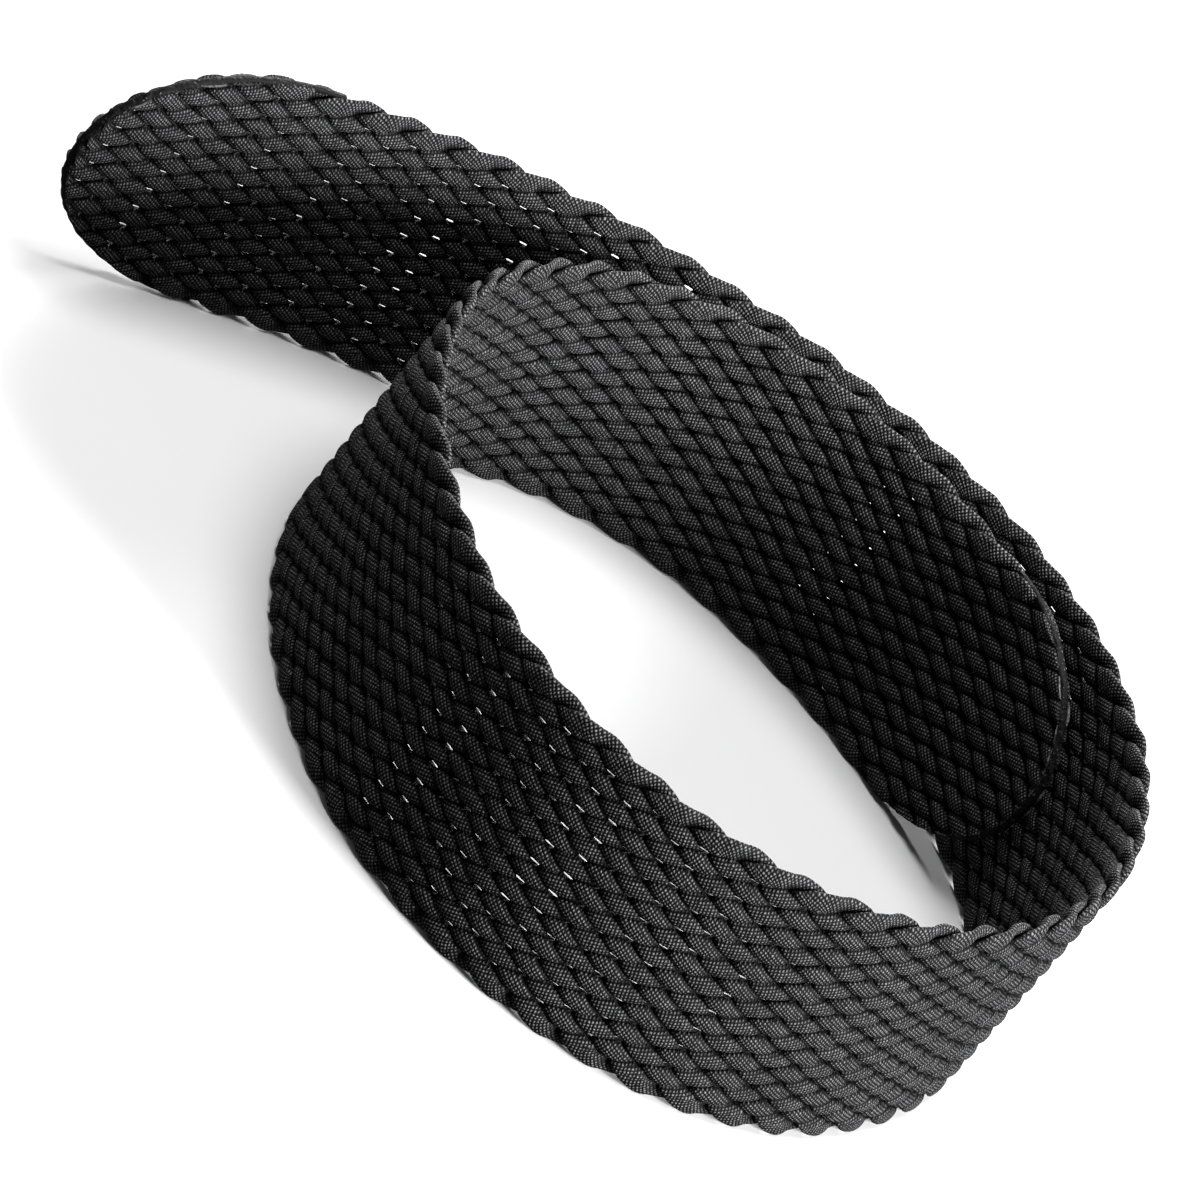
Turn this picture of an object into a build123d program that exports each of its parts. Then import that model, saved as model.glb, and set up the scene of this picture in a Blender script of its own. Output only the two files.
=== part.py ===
from build123d import *
import os
from math import atan2, ceil, copysign, cos, degrees, floor, hypot, radians, sin

"""A flat-braided wrist strap, coiled one and a third turns and standing on its long edge.

The strap is one wide plait: an odd number of cords run diagonally from edge to edge, over one
and under one, and turn back at each edge. Both ends are cut round and melted into a rim. The
loose tail and the inner end bend away from the loop, so each cord is cut at two flex lines.
"""

os.makedirs("parts", exist_ok=True)

# The strap, mm
strap_width = 20.0         # over the turned edges
strap_length = 277.0       # from tip to tip, along the coil
strand_count = 23          # odd, so that every cord leads over as it leaves an edge
turn_pitch = 3.83          # from one cord's turn to the next, along the edge
strand_thickness = 0.6     # of one flattened cord
strand_cover = 0.92        # a cord's width as a share of the room between its neighbours
turn_cover = 0.8           # the same share where it turns, pulled narrower
turn_roll = 0.2            # half the roll at a turn, in columns
strand_gap = 0.05          # between two cords where they cross
edge_row = 0.3             # from the edge to the corner of the zigzag that a cord rounds off

# The coil, seen from above: it starts at the tail's tip and turns clockwise, mm and degrees
coil_start = (-44.05, 0.66)
coil_heading = 49.5
tail_radius = 118.0
shortest_tail_run = 27.0   # a longer strap has a longer tail
coil_runs = (
    (29.0, 64.0),
    (15.0, 49.0),          # the outer layer, along the far side
    (30.0, 28.0),
    (35.0, 36.0),          # the right-hand side
    (45.0, 25.5),          # the near side
    (30.0, 41.0),          # the left-hand side
    (43.0, 24.2),          # the inner layer
    (30.0, 42.0),
)
lead = 3.0                 # coil that runs on past each tip, for trimming

# The melted tips
tail_tip_depth = 16.0      # length of the rounded end
inner_tip_depth = 13.0
rim_width = 1.0            # at the end of the strap
rim_side_width = 0.35      # where the rim runs out, beside the edges
rim_thickness = 1.1
rim_seat = 0.12            # between the rim and the cord ends
rim_steps = 28
bundle = 2                 # neighbouring cords of a free end that share one file

# The flex lines, measured along the strap
tail_flex = 43.5           # from the tail's tip
inner_flex = 43.0          # from the inner tip
flex_slot = 0.6            # cut from every cord, so that the two sides can fold

# The braid's grid: columns along the strap, rows across it
column = turn_pitch / 2
row = (strap_width - 2 * edge_row) / strand_count
cross_angle = degrees(atan2(row, column))
half_cord = strand_cover * hypot(row, column) / 2
half_cord_at_turn = turn_cover * row * cos(radians(cross_angle))
swing = (strand_thickness + strand_gap) / 2
strap_thickness = 2 * swing + strand_thickness
flex_block_length = 2.2 * column
flex_block_depth = 1.5 * strap_thickness
tip_block_depth = 6 * strap_thickness
last_column = ceil(strap_length / column)
inner_flex_place = strap_length - inner_flex
loop_length = sum(run_length for run_length, run_radius in coil_runs)
tail_run = max(shortest_tail_run, strap_length + 2 * lead - loop_length)

with BuildLine() as coil:
    run_end = Vector(*coil_start)
    run_heading = Vector(cos(radians(coil_heading)), sin(radians(coil_heading)))
    for run_length, run_radius in ((tail_run, tail_radius), *coil_runs):
        run = JernArc(run_end, run_heading, run_radius, -degrees(run_length / run_radius))
        run_end = run @ 1
        run_heading = run % 1

coil_wire = coil.wire()
coil_length = coil_wire.length


def strap_plane(along, height):
    """The strap's own plane at one place: x along it, y up, z into the coil."""
    share = (along + lead) / coil_length
    spot = coil_wire @ share
    heading = coil_wire % share
    return Plane((spot.X, spot.Y, height), x_dir=heading, z_dir=heading.cross(Vector(0, 0, 1)))


def cord_section(step, shift):
    """The plane and half-width of a cord's section at one step of its zigzag.

    Steps count columns, from a turn at the bottom edge. A section lies along the cord that
    crosses it there, and swings upright where its own cord turns.
    """
    turns, since_turn = divmod(step + strand_count / 2, strand_count)
    since_turn -= strand_count / 2
    bend = max(-1, min(1, since_turn))
    lean = (90 - cross_angle) * bend
    half_width = half_cord_at_turn + (half_cord - half_cord_at_turn) * bend ** 2
    lift = copysign(swing, since_turn)
    if abs(since_turn) < 1:
        from_edge = half_cord_at_turn + (edge_row + row - half_cord_at_turn) * bend ** 2
    else:
        from_edge = edge_row + row * abs(since_turn)
        lift *= (-1) ** (abs(since_turn) + 1)
    at_top = turns % 2 == 1
    height = strap_width - from_edge if at_top else from_edge
    tilt = radians(90 - lean if at_top else 90 + lean)
    flat = strap_plane((step + shift) * column, height)
    across = flat.x_dir * cos(tilt) + flat.y_dir * sin(tilt)
    return Plane(flat.origin - flat.z_dir * lift, across, across.cross(flat.z_dir)), half_width


def cord_steps(shift, first, last):
    """The steps of one cord between two columns: at a turn it rolls over to the other face."""
    steps = []
    for step in range(first - shift, last - shift + 1):
        if step % strand_count == 0:
            steps += [step - 0.5, step - turn_roll, step + turn_roll, step + 0.5]
        else:
            steps.append(step)
    return [step for step in steps if first <= step + shift <= last]


def cord(number, first, last, trims):
    """One cord of the braid between two columns, cut by the given blocks."""
    shift = 2 * number
    with BuildPart() as piece:
        for step in cord_steps(shift, first, last):
            plane, half_width = cord_section(step, shift)
            with BuildSketch(plane):
                Polygon(
                    (half_width, 0),
                    (0, strand_thickness / 2),
                    (-half_width, 0),
                    (0, -strand_thickness / 2),
                    align=None,
                )
        loft(ruled=True)
        for trim in trims:
            add(trim, mode=Mode.SUBTRACT)
    return piece.part


def flex_block(along, side):
    """A block that cuts the braid off at one side of a flex line: side is 1 or -1."""
    with BuildPart(strap_plane(along, strap_width / 2)) as block:
        with Locations((side * (flex_block_length - flex_slot) / 2, 0, 0)):
            Box(flex_block_length, 2 * strap_width, flex_block_depth)
    return block.part


def tip_block(tip, depth, inward):
    """A block that cuts the braid to a rounded end, just inside its rim.

    inward is 1 where the strap runs on from the tip with the coil, and -1 at the other end.
    """
    root = inward * depth / 2
    with BuildPart() as block:
        with BuildSketch(strap_plane(tip + root, strap_width / 2)):
            with Locations((-inward * lead / 2, 0)):
                Rectangle(depth + lead, 2 * strap_width)
            with Locations((root, 0)):
                Ellipse(
                    depth - rim_width - rim_seat,
                    strap_width / 2 - rim_side_width - rim_seat,
                    mode=Mode.SUBTRACT,
                )
        extrude(amount=tip_block_depth / 2, both=True)
    return block.part


def tip_rim(tip, depth, inward):
    """The melted crescent round a tip, as a strip of upright sections along its outline."""
    root = tip + inward * depth
    with BuildPart() as rim:
        for number in range(rim_steps + 1):
            angle = radians(180 * number / rim_steps - 90)
            outer = Vector(-inward * depth * cos(angle), strap_width / 2 * sin(angle))
            inner = Vector(
                -inward * (depth - rim_width) * cos(angle),
                (strap_width / 2 - rim_side_width) * sin(angle),
            )
            middle = (outer + inner) / 2
            reach = outer - inner
            flat = strap_plane(root + middle.X, strap_width / 2 + middle.Y)
            across = (flat.x_dir * reach.X + flat.y_dir * reach.Y).normalized()
            with BuildSketch(Plane(flat.origin, across, across.cross(flat.z_dir))):
                Rectangle(reach.length, rim_thickness)
        loft(ruled=True)
    return rim.part


def write(piece, name):
    """Labels a finished piece and writes its STEP file."""
    piece.label = name
    export_step(piece, f"parts/{name}.step")


def write_bundles(name, first, last, trims):
    """Writes one free end's cords, a bundle of neighbours to each file."""
    for start in range(0, strand_count, bundle):
        numbers = range(start, min(start + bundle, strand_count))
        cords = [cord(number, first, last, trims) for number in numbers]
        write(Compound(children=cords), f"{name}_{numbers[0] + 1:02d}_to_{numbers[-1] + 1:02d}")


tail_flex_column = floor((tail_flex - half_cord) / column)
inner_flex_column = ceil((inner_flex_place + half_cord) / column)

# The tail
tail_trims = [tip_block(0, tail_tip_depth, 1), flex_block(tail_flex, 1)]
write_bundles("tail_cords", 0, ceil((tail_flex + half_cord) / column), tail_trims)
write(tip_rim(0, tail_tip_depth, 1), "tail_tip_rim")

# The loop
loop_trims = [flex_block(tail_flex, -1), flex_block(inner_flex_place, 1)]
for cord_number in range(strand_count):
    loop_cord = cord(cord_number, tail_flex_column, inner_flex_column, loop_trims)
    write(loop_cord, f"loop_cord_{cord_number + 1:02d}")

# The inner end
end_trims = [flex_block(inner_flex_place, -1), tip_block(strap_length, inner_tip_depth, -1)]
first_end_column = floor((inner_flex_place - half_cord) / column)
write_bundles("end_cords", first_end_column, last_column, end_trims)
write(tip_rim(strap_length, inner_tip_depth, -1), "inner_tip_rim")
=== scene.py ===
"""A flat-braided wrist strap, coiled on its edge: braided cords, melted tips and a plain stage.

Every place is worked out on the strap itself first: along it, up across it, and out of its
middle surface. The coil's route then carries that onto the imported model's frame, in metres.
"""

import math

import bpy
import numpy as np
from bpy.props import FloatProperty, FloatVectorProperty, IntProperty, PointerProperty
from mathutils import Matrix, Vector


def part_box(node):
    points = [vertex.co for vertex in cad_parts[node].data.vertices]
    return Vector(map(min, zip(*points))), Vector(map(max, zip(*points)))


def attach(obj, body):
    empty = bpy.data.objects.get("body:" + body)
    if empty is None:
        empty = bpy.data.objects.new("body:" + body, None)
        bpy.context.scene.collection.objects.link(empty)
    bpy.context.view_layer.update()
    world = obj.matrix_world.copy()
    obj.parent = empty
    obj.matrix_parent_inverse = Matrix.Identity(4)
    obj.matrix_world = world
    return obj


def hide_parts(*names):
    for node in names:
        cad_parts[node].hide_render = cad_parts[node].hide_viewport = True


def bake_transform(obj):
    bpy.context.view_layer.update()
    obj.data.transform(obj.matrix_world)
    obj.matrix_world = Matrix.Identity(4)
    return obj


bl_info = {
    "name": "Braided wrist strap",
    "version": (1, 0, 0),
    "blender": (4, 5, 0),
    "location": "View3D > Sidebar > Wrist strap",
    "description": "Builds the looks of a flat-braided wrist strap around its CAD frame",
    "category": "Object",
}

MM = 0.001
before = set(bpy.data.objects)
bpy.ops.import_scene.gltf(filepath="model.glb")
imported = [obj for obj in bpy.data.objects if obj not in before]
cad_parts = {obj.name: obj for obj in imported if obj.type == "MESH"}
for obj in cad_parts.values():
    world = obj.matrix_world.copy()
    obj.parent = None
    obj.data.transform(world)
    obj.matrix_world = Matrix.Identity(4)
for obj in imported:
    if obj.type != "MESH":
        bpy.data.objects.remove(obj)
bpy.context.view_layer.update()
NODES = sorted(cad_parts)
STRAP_WIDTH = float(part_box("loop_cord_01")[1][2])

# The coil, seen from above: arcs that turn clockwise, from a little before the tail's tip
COIL_START = (-44.05 * MM, 0.66 * MM)
COIL_HEADING = math.radians(49.5)
COIL_LEAD = 3.0 * MM
COIL_RUNS = (              # length and radius, mm
    (27.0, 118.0),
    (29.0, 64.0),
    (15.0, 49.0),
    (30.0, 28.0),
    (35.0, 36.0),
    (45.0, 25.5),
    (30.0, 41.0),
    (43.0, 24.2),
    (30.0, 42.0),
)

MEETING_REACH = 14 * MM    # from a flex line to where a free end's cords meet the loop's
BEND_REACH = 5 * MM        # a stretch of strap either side of a flex line

YARN_UV = "Yarn"           # the cords' UV map, mm along a cord and sideways from its middle
PAINTED_SHADE = "painted_shade_factor"              # the attribute of painted shade: 0, darkest, in the braid's hollows, 1 unshaded


class StrapSizes(bpy.types.PropertyGroup):
    """The braid's own sizes."""

    length: FloatProperty(
        name="Length", description="Strap from tip to tip", default=277 * MM, unit="LENGTH"
    )
    strand_count: IntProperty(
        name="Cords", description="Cords in the plait, an odd number", default=23
    )
    turn_pitch: FloatProperty(
        name="Turn pitch",
        description="Along the edge, from one cord's turn to the next",
        default=3.83 * MM,
        unit="LENGTH",
    )
    thickness: FloatProperty(
        name="Cord thickness", description="One flattened cord", default=0.6 * MM, unit="LENGTH"
    )
    cover: FloatProperty(
        name="Cover",
        description="A cord's width as a share of the room between its neighbours",
        default=1.0,
        subtype="FACTOR",
    )
    pinch: FloatProperty(
        name="Pinch",
        description="How much narrower a cord is where it dives between two others",
        default=0.18,
        subtype="FACTOR",
    )
    turn_cover: FloatProperty(
        name="Cover at a turn",
        description="The same share at an edge",
        default=0.86,
        subtype="FACTOR",
    )
    tail_tip: FloatProperty(
        name="Tail tip", description="Length of its rounded end", default=16 * MM, unit="LENGTH"
    )
    inner_tip: FloatProperty(
        name="Inner tip", description="Length of its rounded end", default=13 * MM, unit="LENGTH"
    )
    rim: FloatProperty(
        name="Rim", description="Width of the melted rim at a tip", default=0.6 * MM, unit="LENGTH"
    )
    tail_flex: FloatProperty(
        name="Tail flex", description="Where the tail bends away", default=43.5 * MM, unit="LENGTH"
    )
    inner_flex: FloatProperty(
        name="Inner flex", description="Where the inner end bends", default=234 * MM, unit="LENGTH"
    )


class StrapColours(bpy.types.PropertyGroup):
    """The finishes' colours."""

    # the stitch top: the yarn's colour lightened as painted sheen
    yarn: FloatVectorProperty(
        name="Yarn",
        description="Top of a stitch",
        default=(0.28, 0.28, 0.288),
        subtype="COLOR",
        size=3,
    )
    # painted shade between stitches: the colour the stitch pattern falls to between them
    painted_groove_shade: FloatVectorProperty(
        name="Groove",
        description="Between stitches",
        default=(0.001, 0.001, 0.0011),
        subtype="COLOR",
        size=3,
    )
    melt: FloatVectorProperty(
        name="Melt",
        description="Melted rim",
        default=(0.006, 0.006, 0.0065),
        subtype="COLOR",
        size=3,
    )
    # pale specks painted into the melted rim as glints
    fibre: FloatVectorProperty(
        name="Fibre ends",
        description="Pale specks in the melted rim",
        default=(0.3, 0.3, 0.31),
        subtype="COLOR",
        size=3,
    )
    floor: FloatVectorProperty(
        name="Floor",
        description="Plain pale floor",
        default=(0.86, 0.86, 0.86),
        subtype="COLOR",
        size=3,
    )


class StrapStage(bpy.types.PropertyGroup):
    """The camera and the light."""

    elevation: FloatProperty(
        name="Elevation", description="Camera above the horizon", default=0.494, subtype="ANGLE"
    )
    roll: FloatProperty(
        name="Roll", description="Camera turned about its own axis", default=0.6948, subtype="ANGLE"
    )
    distance: FloatProperty(
        name="Distance", description="Camera to the strap", default=591 * MM, unit="LENGTH"
    )
    lens: FloatProperty(name="Lens", description="Focal length, mm", default=261.1)
    aim: FloatVectorProperty(
        name="Aim",
        description="The point in the middle of the picture",
        default=(4.20 * MM, 11.46 * MM, 4.10 * MM),
        subtype="XYZ",
        size=3,
    )
    key: FloatProperty(name="Key light", description="Power, W", default=12.0)
    fill: FloatProperty(name="Fill light", description="Power, W", default=8.0)
    rear: FloatProperty(name="Rear light", description="Power, W", default=7.0)
    sky: FloatProperty(name="Sky", description="Strength of the surrounding light", default=0.1)


# ---------------------------------------------------------------- the coil's route


def coil_point(along):
    """Place and outward normal of the strap's middle line, for arrays of distances along it.

    Each run is an arc of its own radius, turning clockwise, so its heading falls by the
    distance over the radius and its place is that arc's centre plus a turned radius.
    """
    lengths = np.array([run[0] for run in COIL_RUNS]) * MM
    radii = np.array([run[1] for run in COIL_RUNS]) * MM
    starts = np.concatenate([[0], np.cumsum(lengths)[:-1]])
    headings = COIL_HEADING - np.concatenate([[0], np.cumsum(lengths / radii)[:-1]])
    ends = headings - lengths / radii
    steps_x = radii * (np.sin(headings) - np.sin(ends))
    steps_y = radii * (np.cos(ends) - np.cos(headings))
    corner_x = COIL_START[0] + np.concatenate([[0], np.cumsum(steps_x)[:-1]])
    corner_y = COIL_START[1] + np.concatenate([[0], np.cumsum(steps_y)[:-1]])
    travelled = along + COIL_LEAD
    run = np.clip(np.searchsorted(starts, travelled, side="right") - 1, 0, len(starts) - 1)
    heading = headings[run] - (travelled - starts[run]) / radii[run]
    x = corner_x[run] + radii[run] * (np.sin(headings[run]) - np.sin(heading))
    y = corner_y[run] + radii[run] * (np.cos(heading) - np.cos(headings[run]))
    return x, y, -np.sin(heading), np.cos(heading)


def onto_coil(along, up, out):
    """Points of the frame for arrays of places on the strap."""
    x, y, normal_x, normal_y = coil_point(along)
    places = np.broadcast_arrays(x + out * normal_x, y + out * normal_y, up)
    return np.stack(places, axis=-1)


def on_coil(along):
    """One point of the strap's middle line, half-way up it."""
    return tuple(onto_coil(np.array([along]), STRAP_WIDTH / 2, 0.0)[0])


# ---------------------------------------------------------------- the braid


class Braid:
    """The plait's grid: columns along the strap and rows across it."""

    EDGE_ROW = 0.3 * MM    # from the edge to the corner of the zigzag that a cord rounds off
    RINGS = 14             # sections in each column
    ROUND = 16             # points round a section
    SQUARENESS = 0.8       # 1 is an ellipse, less is a flatter face with fuller sides
    LOOSENESS = 1.08       # a cord's rise over its neighbours, as a share of a snug one
    ROLL = 3.5             # how suddenly a cord rolls over at a turn
    FLAT_TOPS = 1.4        # how long a cord stays up before it dives
    CORNER = 3             # power of a turn's curve, more is squarer
    LEAN = 1.3             # power of the swing from slanting to upright at a turn
    DIVE = 4               # power of the pinch, more is a shorter neck
    WANDER = 0.035 * MM    # unevenness up the strap
    LIFT = 0.02 * MM       # unevenness out of the strap
    SWELL = 0.03           # unevenness of a cord's width
    TRIM_INSET = 0.2       # from a tip's outline to the cord ends, as a share of the rim
    TRIM_SIDE = 0.1 * MM   # the same beside the edges
    UNSHADED_EDGE = 1.3        # painted shade lifted near an edge: 1.3 at it, falling by one for each mm from it

    def __init__(self, sizes):
        self.sizes = sizes
        self.count = sizes.strand_count
        self.column = sizes.turn_pitch / 2
        self.row = (STRAP_WIDTH - 2 * self.EDGE_ROW) / self.count
        self.angle = math.atan2(self.row, self.column)
        self.reach = math.hypot(self.row, self.column) / 2
        self.swing = sizes.thickness / 2 * self.LOOSENESS
        self.turn_half = sizes.turn_cover * self.row * math.cos(self.angle)

    def cord_line(self, number, first, last):
        """The middle of one cord between two columns, as arrays: along, up, out, tilt, half-width.

        Steps count columns from a turn at the bottom edge. Away from the edges the height grows by
        a row a column and the cord rises and falls as a cosine, flattened by a tanh, over one and
        under one. At a turn the height is a cubic, the cord rolls from one face to the other as a
        tanh, and its section swings upright. Slow sines make the cords uneven.
        """
        steps = np.linspace(first, last, (last - first) * self.RINGS + 1) - 2 * number
        turns = np.floor(steps / self.count + 0.5)
        since = steps - turns * self.count
        bend = np.clip(since, -1, 1)
        inner = self.EDGE_ROW + self.row
        near = self.turn_half + (inner - self.turn_half) * np.abs(bend) ** self.CORNER
        far = self.EDGE_ROW + self.row * np.abs(since)
        from_edge = np.where(np.abs(since) < 1, near, far)
        rolled = np.tanh(self.ROLL * bend) / math.tanh(self.ROLL)
        weave = np.sign(since) * np.cos(np.pi * (np.abs(since) - 1))
        weave = np.tanh(self.FLAT_TOPS * weave) / math.tanh(self.FLAT_TOPS)
        out = self.swing * np.where(np.abs(since) < 1, rolled, weave)
        top = np.mod(turns, 2) == 1
        up = np.where(top, STRAP_WIDTH - from_edge, from_edge)
        lean = (math.pi / 2 - self.angle) * np.sign(bend) * np.abs(bend) ** self.LEAN
        tilt = math.pi / 2 + np.where(top, -lean, lean)
        width = self.sizes.cover - self.sizes.pinch * np.sin(np.pi * steps) ** self.DIVE
        half = self.turn_half + (width * self.reach - self.turn_half) * bend**2
        along = (steps + 2 * number) * self.column
        up = up + self.WANDER * np.sin(1.13 * steps + 2.4 * number)
        out = out + self.LIFT * np.sin(0.71 * steps + 1.7 * number)
        half = half * (1 + self.SWELL * np.sin(2.37 * steps + 4.1 * number))
        return along, up, out, tilt, half

    def cord_surface(self, number, first, last):
        """One cord between two columns: points (ring, round, 3) on the strap, and their UVs in mm.

        A section is a rounded lens that lies along the cord crossing it: the cosine of the angle
        round it goes across, and a power of its sine goes out. The UVs are the distance run along
        the cord and the distance sideways from its middle.
        """
        along, up, out, tilt, half = self.cord_line(number, first, last)
        turn = np.linspace(0, 2 * np.pi, self.ROUND + 1)
        across = np.cos(turn)[None, :] * half[:, None]
        lift = np.sign(np.sin(turn)) * np.abs(np.sin(turn)) ** self.SQUARENESS
        lift = lift[None, :] * self.sizes.thickness / 2
        places = np.stack(
            [
                along[:, None] + across * np.cos(tilt)[:, None],
                up[:, None] + across * np.sin(tilt)[:, None],
                out[:, None] + lift,
            ],
            axis=-1,
        )
        travel_x, travel_y = np.gradient(along), np.gradient(up)
        length = np.hypot(travel_x, travel_y)
        cosine = (travel_x * np.cos(tilt) + travel_y * np.sin(tilt)) / length
        run = np.cumsum(length)[:, None] + across * cosine[:, None]
        sideways = across * np.sqrt(1 - cosine**2)[:, None]
        sideways = sideways + (turn > np.pi)[None, :] * self.row
        uv = np.stack([sideways, run + number * self.row], axis=-1) / MM
        return places, uv

    def exposure(self, places):
        """Painted shade: from 0, darkest, in the strap's middle surface to 1, unshaded, on top of a
        cord or out at an edge.
        """
        standing = np.abs(places[..., 2]) / (self.swing + self.sizes.thickness / 2)
        from_edge = np.minimum(places[..., 1], STRAP_WIDTH - places[..., 1])
        return np.clip(np.maximum(standing, self.UNSHADED_EDGE - from_edge / MM), 0, 1).ravel()

    def trimmed(self, places, tip, depth, inward):
        """Presses what lies beyond a rounded end back onto its outline, which the rim covers.

        The outline is half an ellipse; a point outside it moves to it, straight towards its centre.
        Also says which rings lie wholly outside. inward is 1 where the strap runs on from the tip
        with the coil, and -1 at the other end.
        """
        middle = STRAP_WIDTH / 2
        root = tip + inward * depth
        along, up = places[..., 0] - root, places[..., 1] - middle
        ahead = np.minimum(inward * along, 0) / (depth - self.TRIM_INSET * self.sizes.rim)
        aside = up / (middle - self.TRIM_SIDE)
        outside = np.where(ahead < 0, np.maximum(np.hypot(ahead, aside), 1), 1)
        kept = places.copy()
        kept[..., 0] = np.where(ahead < 0, root + along / outside, places[..., 0])
        kept[..., 1] = middle + up / outside
        return kept, (outside > 1).all(axis=1)


# ---------------------------------------------------------------- meshes


def tube_faces(rings, around, start):
    """Quads of a closed tube, as rows of four point numbers, and its two end caps.

    Points are numbered ring by ring from start. The faces point outwards where a ring's numbers
    run anticlockwise, looking from it towards the next ring.
    """
    ring, spot = np.meshgrid(np.arange(rings - 1), np.arange(around), indexing="ij")
    ring, spot = ring.ravel(), spot.ravel()
    following = (spot + 1) % around
    quads = np.stack(
        [
            ring * around + spot,
            (ring + 1) * around + spot,
            (ring + 1) * around + following,
            ring * around + following,
        ],
        axis=1,
    )
    first, last = start, start + (rings - 1) * around
    caps = [list(range(first, first + around)), list(range(last, last + around))[::-1]]
    return quads + start, caps


def make_piece(name, points, quads, caps, uvs, painted_shade_factor, material):
    """A mesh object of quads and flat caps, with UVs given for each quad corner.

    painted_shade_factor is the painted shade at each point, from 0, darkest, deep in a hollow to 1,
    unshaded, on top of a cord.
    """
    mesh = bpy.data.meshes.new(name)
    faces = quads.tolist() + caps
    mesh.from_pydata(points.tolist(), [], faces)
    layer = mesh.uv_layers.new(name=YARN_UV)
    corners = np.zeros((len(mesh.loops), 2))
    corners[: len(uvs)] = uvs
    layer.data.foreach_set("uv", corners.ravel())
    # painted shade, stored for each point
    exposure = mesh.attributes.new(PAINTED_SHADE, "FLOAT", "POINT")
    exposure.data.foreach_set("value", painted_shade_factor)
    smooth = np.ones(len(faces), dtype=bool)
    smooth[len(quads):] = False
    mesh.polygons.foreach_set("use_smooth", smooth)
    mesh.update()
    piece = bpy.data.objects.new(name, mesh)
    bpy.context.collection.objects.link(piece)
    mesh.materials.append(material)
    return piece


def cord_piece(name, braid, numbers, first, last, trims, material):
    """One piece of one or more cords between two columns, with rounded ends trimmed."""
    points, quads, caps, uvs, painted_shade_factor = [], [], [], [], []
    start = 0
    for number in numbers:
        places, uv = braid.cord_surface(number, first, last)
        keep = np.ones(len(places), dtype=bool)
        for trim in trims:
            places, gone = braid.trimmed(places, *trim)
            keep &= ~gone
        for stretch in stretches(keep):
            part, part_uv = places[stretch], uv[stretch]
            body = onto_coil(part[..., 0], part[..., 1], part[..., 2])[:, :-1]
            rings, around = body.shape[:2]
            these, ends = tube_faces(rings, around, start)
            points.append(body.reshape(-1, 3))
            quads.append(these)
            caps += ends
            uvs.append(corner_uvs(part_uv))
            painted_shade_factor.append(braid.exposure(part[:, :-1]))
            start += rings * around
    return make_piece(
        name,
        np.concatenate(points),
        np.concatenate(quads),
        caps,
        np.concatenate(uvs),
        np.concatenate(painted_shade_factor),
        material,
    )


def stretches(keep):
    """Slices of the rings that are kept, each at least three rings long."""
    edges = np.flatnonzero(np.diff(np.concatenate([[0], keep.astype(int), [0]])))
    return [slice(a, b) for a, b in zip(edges[::2], edges[1::2]) if b - a > 2]


def corner_uvs(uv):
    """UVs of a grid's quads, corner by corner, with the seam's own column at its far side."""
    near, far = uv[:-1], uv[1:]
    corners = np.stack([near[:, :-1], far[:, :-1], far[:, 1:], near[:, 1:]], axis=2)
    return corners.reshape(-1, 2)


def rim_piece(name, rim, tip, depth, inward, material):
    """The melted crescent round a tip: a lumpy oval section carried along the half ellipse.

    It is widest at the end of the strap and thins out beside the edges as a power of the cosine
    of the angle round the tip. Two sines of that angle make the lumps.
    """
    steps, around = 120, 20
    side_inset = 0.2 * MM
    least_half, more_half = 0.15 * MM, 0.3 * rim
    least_thick, more_thick = 0.22 * MM, 0.18 * MM
    run_out = 0.7          # power of the cosine, less is fuller beside the edges
    fullness = 0.7         # 1 is an oval section, less is squarer
    angle = np.linspace(-np.pi / 2, np.pi / 2, steps)
    half_strap = STRAP_WIDTH / 2
    mid_ahead = (depth - rim / 2) * np.cos(angle)
    mid_aside = (half_strap - side_inset) * np.sin(angle)
    slope = np.stack([np.gradient(mid_ahead), np.gradient(mid_aside)], axis=1)
    slope /= np.linalg.norm(slope, axis=1)[:, None]
    swell = np.cos(angle) ** run_out
    half = least_half + more_half * swell
    thick = least_thick + more_thick * swell
    lumps = 1 + 0.1 * np.sin(23 * angle + 0.7) + 0.12 * np.sin(57 * angle + 2.1)
    turn = np.linspace(0, 2 * np.pi, around, endpoint=False)
    reach = np.cos(turn)[None, :] * (half * lumps)[:, None]
    lift = np.sign(np.sin(turn)) * np.abs(np.sin(turn)) ** fullness
    lift = lift[None, :] * (thick * (2 - lumps))[:, None]
    ahead = mid_ahead[:, None] + reach * slope[:, 1:2]
    aside = mid_aside[:, None] - reach * slope[:, 0:1]
    root = tip + inward * depth
    places = onto_coil(root - inward * ahead, half_strap + aside, lift)
    quads, caps = tube_faces(steps, around, 0)
    if inward < 0:
        quads = quads[:, ::-1]
        caps = [cap[::-1] for cap in caps]
    points = places.reshape(-1, 3)
    # the melted rim gets no painted shade: its factor is 1 throughout
    uvs, painted_shade_factor = np.zeros((quads.size, 2)), np.ones(len(points))
    return make_piece(name, points, quads, caps, uvs, painted_shade_factor, material)


# ---------------------------------------------------------------- materials


class Wire:
    """A socket in an expression: arithmetic on it adds Math nodes."""

    def __init__(self, shading, socket):
        self.shading = shading
        self.socket = socket

    def maths(self, operation, *values):
        settings = {"operation": operation}
        return self.shading.node("ShaderNodeMath", settings, dict(enumerate(values)))

    def __add__(self, other):
        return self.maths("ADD", self, other)

    __radd__ = __add__

    def __sub__(self, other):
        return self.maths("SUBTRACT", self, other)

    def __rsub__(self, other):
        return self.maths("SUBTRACT", other, self)

    def __mul__(self, other):
        return self.maths("MULTIPLY", self, other)

    __rmul__ = __mul__

    def __truediv__(self, other):
        return self.maths("DIVIDE", self, other)

    def __pow__(self, other):
        return self.maths("POWER", self, other)

    def cosine(self):
        return self.maths("COSINE", self)

    def above(self, limit):
        """1 where this is greater than the limit, otherwise 0."""
        return self.maths("GREATER_THAN", self, limit)

    def output(self, number):
        """Another output of the same node."""
        return Wire(self.shading, self.socket.node.outputs[number])


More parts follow.
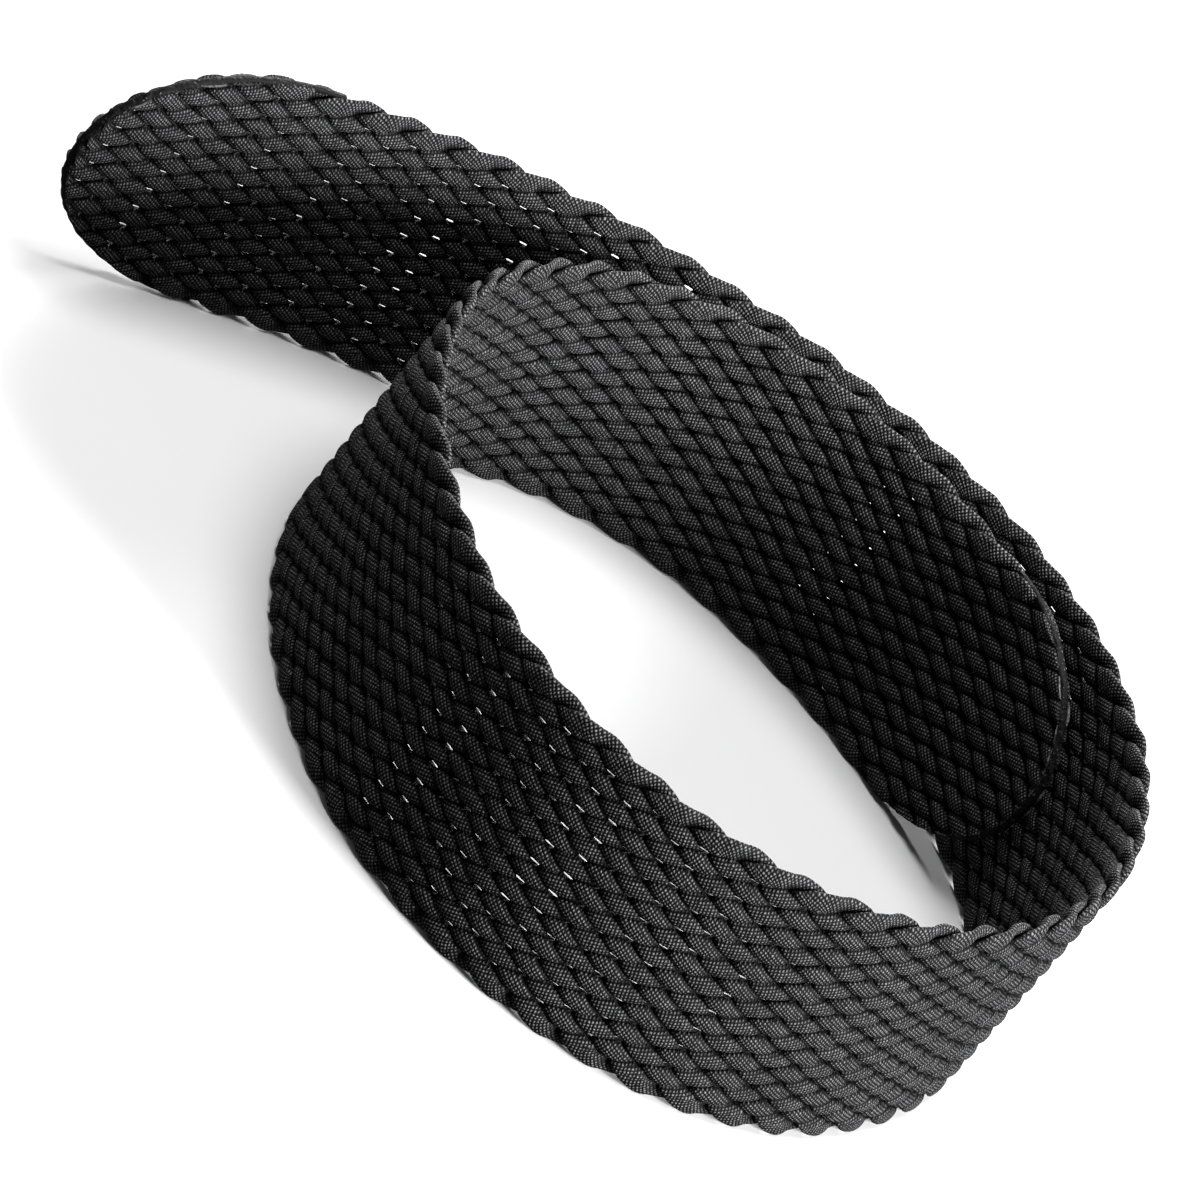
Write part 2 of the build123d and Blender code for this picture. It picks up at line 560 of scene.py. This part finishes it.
class Shading:
    """A material under construction, around its Principled shader."""

    def __init__(self, name):
        self.material = bpy.data.materials.new(name)
        self.material.use_nodes = True
        self.tree = self.material.node_tree
        self.shader = self.tree.nodes["Principled BSDF"]

    def plug(self, socket, value):
        """Links a socket to a wire, or sets it to a plain value."""
        if isinstance(value, Wire):
            self.tree.links.new(value.socket, socket)
        else:
            socket.default_value = value

    def node(self, kind, settings=None, inputs=None):
        """Any node: its settings first, then its inputs by name or number. Gives output 0."""
        made = self.tree.nodes.new(kind)
        for setting, value in (settings or {}).items():
            setattr(made, setting, value)
        for name, value in (inputs or {}).items():
            self.plug(made.inputs[name], value)
        return Wire(self, made.outputs[0])

    def feed(self, name, value):
        """Gives one of the shader's own sockets its wire or value."""
        self.plug(self.shader.inputs[name], value)

    def mix(self, share, low, high):
        """Two colours mixed by a number."""
        settings, inputs = {"data_type": "RGBA"}, {0: share, 6: low, 7: high}
        return self.node("ShaderNodeMix", settings, inputs).output(2)

    def noise(self, scale, detail):
        """Noise on the piece's own coordinates, which are metres of the frame."""
        place = self.node("ShaderNodeTexCoord").output(3)
        inputs = {"Scale": scale, "Detail": detail, "Vector": place}
        return self.node("ShaderNodeTexNoise", None, inputs)

    def bump(self, height, depth):
        """Surface detail of a height from 0 to 1, times a depth."""
        inputs = {"Strength": 1.0, "Distance": depth, "Height": height}
        return self.node("ShaderNodeBump", None, inputs)


def opaque(colour):
    """A property's colour as the four numbers of a socket."""
    return (*colour, 1.0)


def yarn_material(colours):
    """Charcoal yarn: rows of small oval stitches in two crossing directions, with painted sheen on
    their tops.

    A stitch is the product of two raised cosines that slant either way along the cord, and the
    fibres' noise strays into their phase. Its colour runs from painted shade between stitches to
    painted sheen on their tops, and is painted darker still in the braid's hollows.
    """
    shading = Shading("braided_yarn")
    stitch_run, stitch_side = 0.3, 0.37     # mm along and across the cord
    uv = shading.node("ShaderNodeUVMap", {"uv_map": YARN_UV})
    sideways = shading.node("ShaderNodeSeparateXYZ", None, {0: uv})
    run = sideways.output(1)
    fibre = shading.noise(4200.0, 2.0)
    stray = (fibre - 0.5) * 3.5
    full_turn = 2 * math.pi
    rising = (run / stitch_run + sideways / stitch_side) * full_turn + stray
    falling = (run / stitch_run - sideways / stitch_side) * full_turn + stray
    stitch = (rising.cosine() * 0.5 + 0.5) * (falling.cosine() * 0.5 + 0.5)
    cloud = shading.noise(260.0, 3.0)
    # painted shade from the attribute: darker where the cords dive into the braid's hollows
    painted_shade_factor = shading.node("ShaderNodeAttribute", {"attribute_name": PAINTED_SHADE}).output(2)
    depths = {"Value": painted_shade_factor, "From Min": 0.4, "From Max": 0.9, "To Min": 0.04}
    painted_depth_shade = shading.node("ShaderNodeMapRange", None, depths)
    streaks, patches = fibre * 3.6 - 0.8, cloud * 0.8 + 0.6
    # shade: painted shade between the stitches and in the braid's hollows, times random tone from
    # the fibre streaks and cloud patches
    shade = stitch ** 1.2 * painted_depth_shade * streaks * patches
    shading.feed("Base Color", shading.mix(shade, opaque(colours.painted_groove_shade), opaque(colours.yarn)))
    shading.feed("Roughness", 0.72 - stitch * 0.2)
    shading.feed("Normal", shading.bump(stitch + fibre * 0.3, 0.08 * MM))
    shading.feed("Specular IOR Level", 0.15)
    return shading.material


def melt_material(colours):
    """Melted yarn: near black, uneven gloss, with pale specks painted in as glints."""
    shading = Shading("melted_yarn")
    lumps = shading.noise(2600.0, 4.0)
    # painted glints: pale specks scattered by noise
    pale = shading.noise(5200.0, 2.0).above(0.68) * 0.5
    shading.feed("Base Color", shading.mix(pale, opaque(colours.melt), opaque(colours.fibre)))
    shading.feed("Roughness", lumps * 0.5 + 0.4)
    shading.feed("Specular IOR Level", 0.2)
    shading.feed("Normal", shading.bump(lumps, 0.2 * MM))
    return shading.material


def floor_material(colours):
    """A plain pale floor with the faintest mottling."""
    shading = Shading("pale_floor")
    lighter = 1.03
    paler = [min(1.0, part * lighter) for part in colours.floor]
    cloud = shading.noise(3.0, 2.0)
    shading.feed("Base Color", shading.mix(cloud, opaque(colours.floor), opaque(paler)))
    shading.feed("Roughness", 0.9)
    return shading.material


def finish(name, make):
    """The material of a name, made with the scene's colours the first time it is asked for."""
    return bpy.data.materials.get(name) or make(bpy.context.scene.strap_colours)


# ---------------------------------------------------------------- operators


def node_numbers(node):
    """The cords that a CAD node's name gives, first to last, counted from nought."""
    numbers = [int(word) for word in node.split("_") if word.isdigit()]
    return range(numbers[0] - 1, numbers[-1])


class Columns:
    """Where the strap's pieces meet, in columns of the braid."""

    def __init__(self, sizes):
        column = Braid(sizes).column
        self.first = 0
        self.tail_end = round((sizes.tail_flex + MEETING_REACH) / column)
        self.end_start = round((sizes.inner_flex - MEETING_REACH) / column)
        self.last = math.ceil(sizes.length / column)


def cord_pieces(prefix, first, last, *trims):
    """For each CAD node whose name has a prefix, the node and its new piece of braided cords."""
    braid = Braid(bpy.context.scene.strap_sizes)
    yarn = finish("braided_yarn", yarn_material)
    for node in [node for node in NODES if node.startswith(prefix)]:
        numbers = node_numbers(node)
        yield node, cord_piece(f"braided_{node}", braid, numbers, first, last, trims, yarn)


class STRAP_OT_loop(bpy.types.Operator):
    """Adds the loop's braided cords, each in place of its CAD node"""

    bl_idname = "strap.loop"
    bl_label = "Loop cords"

    def execute(self, context):
        columns = Columns(context.scene.strap_sizes)
        for node, piece in cord_pieces("loop_cord", columns.tail_end, columns.end_start):
            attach(piece, "loop")
            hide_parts(node)
        return {"FINISHED"}


class STRAP_OT_tail(bpy.types.Operator):
    """Adds the tail's braided cords, up to where they meet the loop's"""

    bl_idname = "strap.tail"
    bl_label = "Tail cords"

    def execute(self, context):
        sizes = context.scene.strap_sizes
        columns = Columns(sizes)
        tip = (0.0, sizes.tail_tip, 1)
        for node, piece in cord_pieces("tail_cords", columns.first, columns.tail_end, tip):
            bend_at(piece, sizes.tail_flex)
            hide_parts(node)
        return {"FINISHED"}


class STRAP_OT_inner_end(bpy.types.Operator):
    """Adds the inner end's braided cords, from where they meet the loop's"""

    bl_idname = "strap.inner_end"
    bl_label = "Inner end cords"

    def execute(self, context):
        sizes = context.scene.strap_sizes
        columns = Columns(sizes)
        tip = (sizes.length, sizes.inner_tip, -1)
        for node, piece in cord_pieces("end_cords", columns.end_start, columns.last, tip):
            bend_at(piece, sizes.inner_flex)
            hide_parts(node)
        return {"FINISHED"}


def bend_at(piece, flex):
    """Bakes a piece's transform into its points; the strap's middle points either side of a flex
    line are worked out, but nothing bends.
    """
    start, end = on_coil(flex - BEND_REACH), on_coil(flex + BEND_REACH)
    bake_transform(piece)
    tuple(start)
    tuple(end)


class STRAP_OT_rims(bpy.types.Operator):
    """Adds the melted rims of both tips"""

    bl_idname = "strap.rims"
    bl_label = "Melted rims"

    def execute(self, context):
        sizes = context.scene.strap_sizes
        melt = finish("melted_yarn", melt_material)
        tail = rim_piece("melted_tail_tip", sizes.rim, 0.0, sizes.tail_tip, 1, melt)
        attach(tail, "tail")
        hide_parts("tail_tip_rim")
        inner = rim_piece(
            "melted_inner_tip", sizes.rim, sizes.length, sizes.inner_tip, -1, melt
        )
        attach(inner, "inner_end")
        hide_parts("inner_tip_rim")
        return {"FINISHED"}


class STRAP_OT_stage(bpy.types.Operator):
    """Adds the floor, the camera and the lights"""

    bl_idname = "strap.stage"
    bl_label = "Stage"

    def execute(self, context):
        scene = context.scene
        look = scene.strap_stage
        bpy.ops.mesh.primitive_plane_add(size=6.0, location=(0, 0, 0))
        floor = context.object
        floor.name = "floor"
        floor.data.materials.append(finish("pale_floor", floor_material))
        floor.visible_diffuse = False
        floor.visible_glossy = False
        add_camera(look)
        for name, power, size, place in (
            ("key", look.key, 0.3, (0.66, -0.18, 0.28)),
            ("fill", look.fill, 0.5, (-0.05, 0.05, 0.9)),
            ("rear", look.rear, 0.4, (-0.25, 0.75, 0.3)),
        ):
            add_area(name, power, size, Vector(place))
        world = scene.world or bpy.data.worlds.new("soft_sky")
        scene.world = world
        world.use_nodes = True
        sky = world.node_tree.nodes["Background"]
        sky.inputs["Color"].default_value = (1.0, 1.0, 1.0, 1.0)
        sky.inputs["Strength"].default_value = look.sky
        scene.view_settings.view_transform = "Standard"
        return {"FINISHED"}


def add_camera(look):
    """A camera south of the strap, raised and rolled about its own axis."""
    back = Vector((0, -math.cos(look.elevation), math.sin(look.elevation)))
    level = Vector((1, 0, 0))
    upright = back.cross(level)
    right = math.cos(look.roll) * level + math.sin(look.roll) * upright
    up = math.cos(look.roll) * upright - math.sin(look.roll) * level
    lens = bpy.data.cameras.new("camera")
    lens.lens = look.lens
    lens.sensor_width = 36.0
    lens.clip_start = 0.01
    camera = bpy.data.objects.new("camera", lens)
    bpy.context.collection.objects.link(camera)
    place = Vector(look.aim) + look.distance * back
    turned = Matrix((right, up, back)).transposed().to_4x4()
    camera.matrix_world = Matrix.Translation(place) @ turned
    bpy.context.scene.camera = camera


def add_area(name, power, size, place):
    """A square area light that faces the strap: power in watts, size and place in metres."""
    light = bpy.data.lights.new(name, "AREA")
    light.energy = power
    light.size = size
    lamp = bpy.data.objects.new(name, light)
    bpy.context.collection.objects.link(lamp)
    lamp.location = place
    lamp.rotation_mode = "QUATERNION"
    lamp.rotation_quaternion = place.to_track_quat("Z", "Y")


class STRAP_PT_panel(bpy.types.Panel):
    """Lists the strap's steps, sizes, colours and stage"""

    bl_idname = "STRAP_PT_panel"
    bl_label = "Wrist strap"
    bl_space_type = "VIEW_3D"
    bl_region_type = "UI"
    bl_category = "Wrist strap"

    def draw(self, context):
        for operator in OPERATORS:
            self.layout.operator(operator.bl_idname)
        scene = context.scene
        for settings in (scene.strap_sizes, scene.strap_colours, scene.strap_stage):
            box = self.layout.box()
            for name in settings.__annotations__:
                box.prop(settings, name)


GROUPS = (StrapSizes, StrapColours, StrapStage)
OPERATORS = (STRAP_OT_loop, STRAP_OT_tail, STRAP_OT_inner_end, STRAP_OT_rims, STRAP_OT_stage)


def register():
    for thing in (*GROUPS, *OPERATORS, STRAP_PT_panel):
        bpy.utils.register_class(thing)
    bpy.types.Scene.strap_sizes = PointerProperty(type=StrapSizes)
    bpy.types.Scene.strap_colours = PointerProperty(type=StrapColours)
    bpy.types.Scene.strap_stage = PointerProperty(type=StrapStage)


def unregister():
    del bpy.types.Scene.strap_stage
    del bpy.types.Scene.strap_colours
    del bpy.types.Scene.strap_sizes
    for thing in reversed((*GROUPS, *OPERATORS, STRAP_PT_panel)):
        bpy.utils.unregister_class(thing)


def main():
    register()
    bpy.ops.strap.loop()
    bpy.ops.strap.tail()
    bpy.ops.strap.inner_end()
    bpy.ops.strap.rims()
    bpy.ops.strap.stage()


if __name__ == "__main__":
    main()
